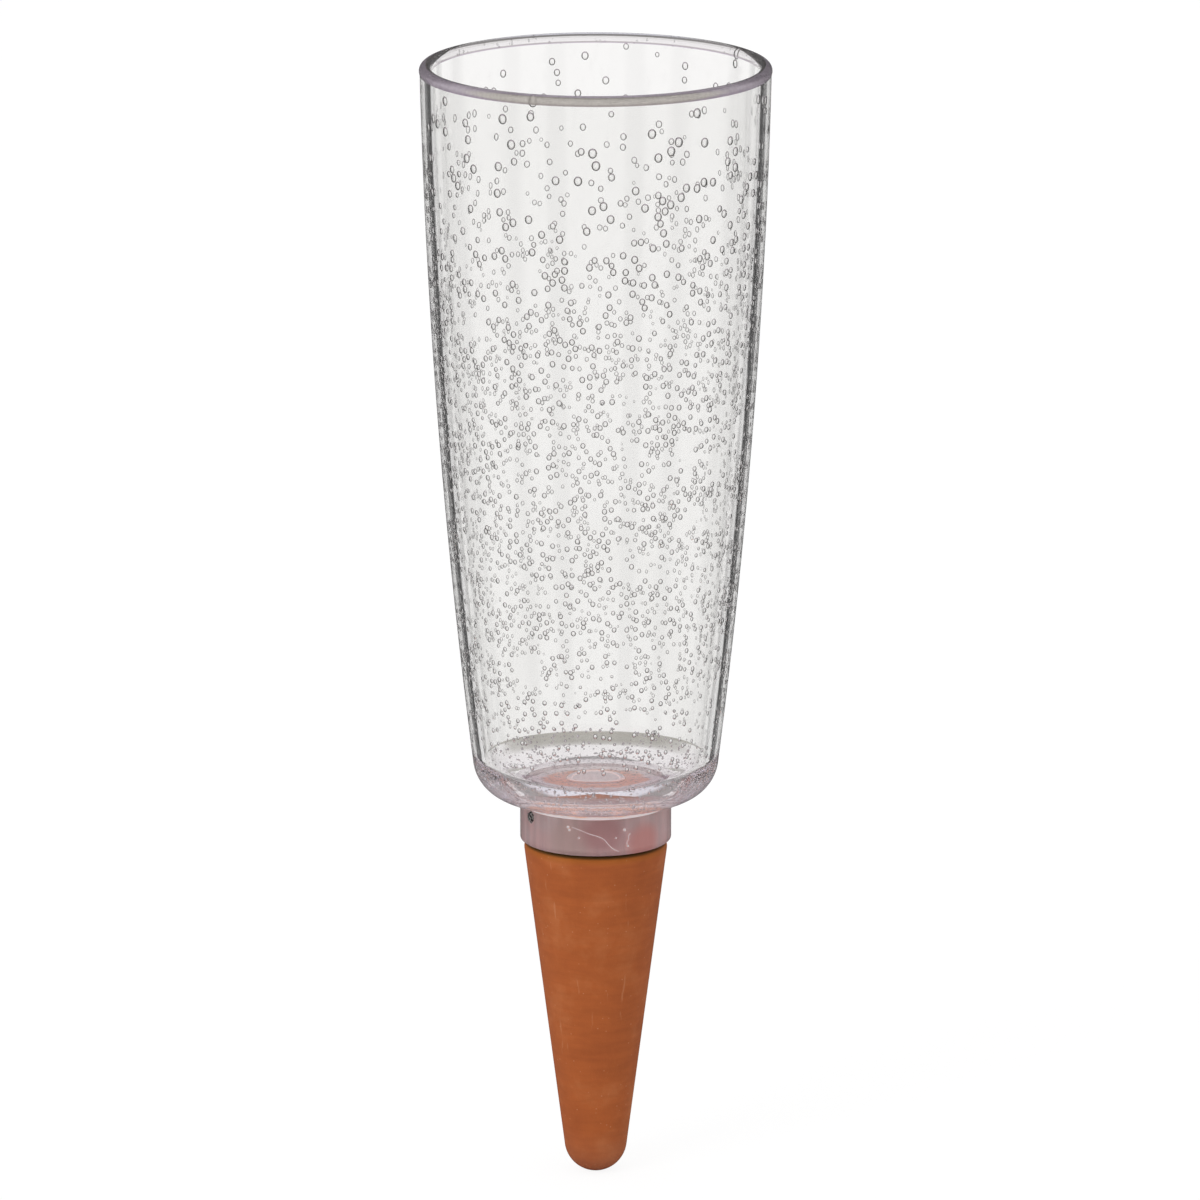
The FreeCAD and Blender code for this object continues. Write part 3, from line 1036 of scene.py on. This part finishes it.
# %% [markdown]
# ## Floor, lamp and camera
# The floor is plain and pale. It is matt for light that falls on it, nearly white to the
# camera, so that it runs into the backdrop and still keeps the shadow, and open to rays from
# the plastic, which see the world's lit table instead. One large soft lamp stands to the left
# and in front. The camera stands far off with a long lens, and looks down on the lip.

# %% Floor
FLOOR_SHOWN = 0.85  # of the camera's look at the floor, this share is plain white

floor_paint, tree = new_material("studio_floor_matt_white")
rays = add(tree, "LightPath")
matt = add(tree, "BsdfDiffuse", {"Color": grey(0.9)})
white = add(tree, "Emission", {"Color": grey(1.0), "Strength": 1.05})
clear = add(tree, "BsdfTransparent")
lit = add(tree, "Math", {0: rays.outputs["Is Camera Ray"], 1: FLOOR_SHOWN}, operation="MULTIPLY")
seen = add(tree, "MixShader", {0: lit.outputs[0], 1: matt.outputs[0], 2: white.outputs[0]})
inner = add(tree, "Math", {0: rays.outputs["Is Transmission Ray"], 1: rays.outputs["Is Glossy Ray"]},
            operation="MAXIMUM")
final = add(tree, "MixShader", {0: inner.outputs[0], 1: seen.outputs[0], 2: clear.outputs[0]})
add(tree, "OutputMaterial", {"Surface": final.outputs[0]})

floor_form = bmesh.new()
bmesh.ops.create_grid(floor_form, x_segments=1, y_segments=1, size=6.0,
                      matrix=Matrix.Translation((0, 0, tip_height * MM)))
floor_mesh = bpy.data.meshes.new("studio_floor")
floor_form.to_mesh(floor_mesh)
floor_form.free()
floor_mesh.materials.append(floor_paint)
studio_floor = placed("studio_floor", floor_mesh)
print(f"floor at {tip_height:.2f} mm, under the tip")

# %% Lamp
softbox_place = Vector((-1.5, -1.6, 1.3))

softbox = bpy.data.lights.new("key", "AREA")
softbox.size = 1.2
softbox.energy = 18
stand = placed("key", softbox)
stand.location = softbox_place
stand.rotation_euler = (-softbox_place).to_track_quat("-Z", "Y").to_euler()
stand.visible_transmission = False
stand.visible_glossy = False
print(f"the lamp is {softbox_place.length:.2f} m away")

# %% Camera
look = Vector((0, 0, 0.06618))
distance = 2.707
elevation = math.radians(13.84)

camera = bpy.data.cameras.new("camera")
camera.sensor_width = 36
camera.lens = 301.3
camera.shift_x = 0.0036
camera.clip_end = 100
tripod = placed("camera", camera)
tripod.location = look + distance * Vector((0, -math.cos(elevation), math.sin(elevation)))
tripod.rotation_euler = (math.pi / 2 - elevation, 0, 0)
bpy.context.scene.camera = tripod
bpy.context.scene.view_settings.view_transform = "Standard"
print("camera at", [round(c, 3) for c in tripod.location])
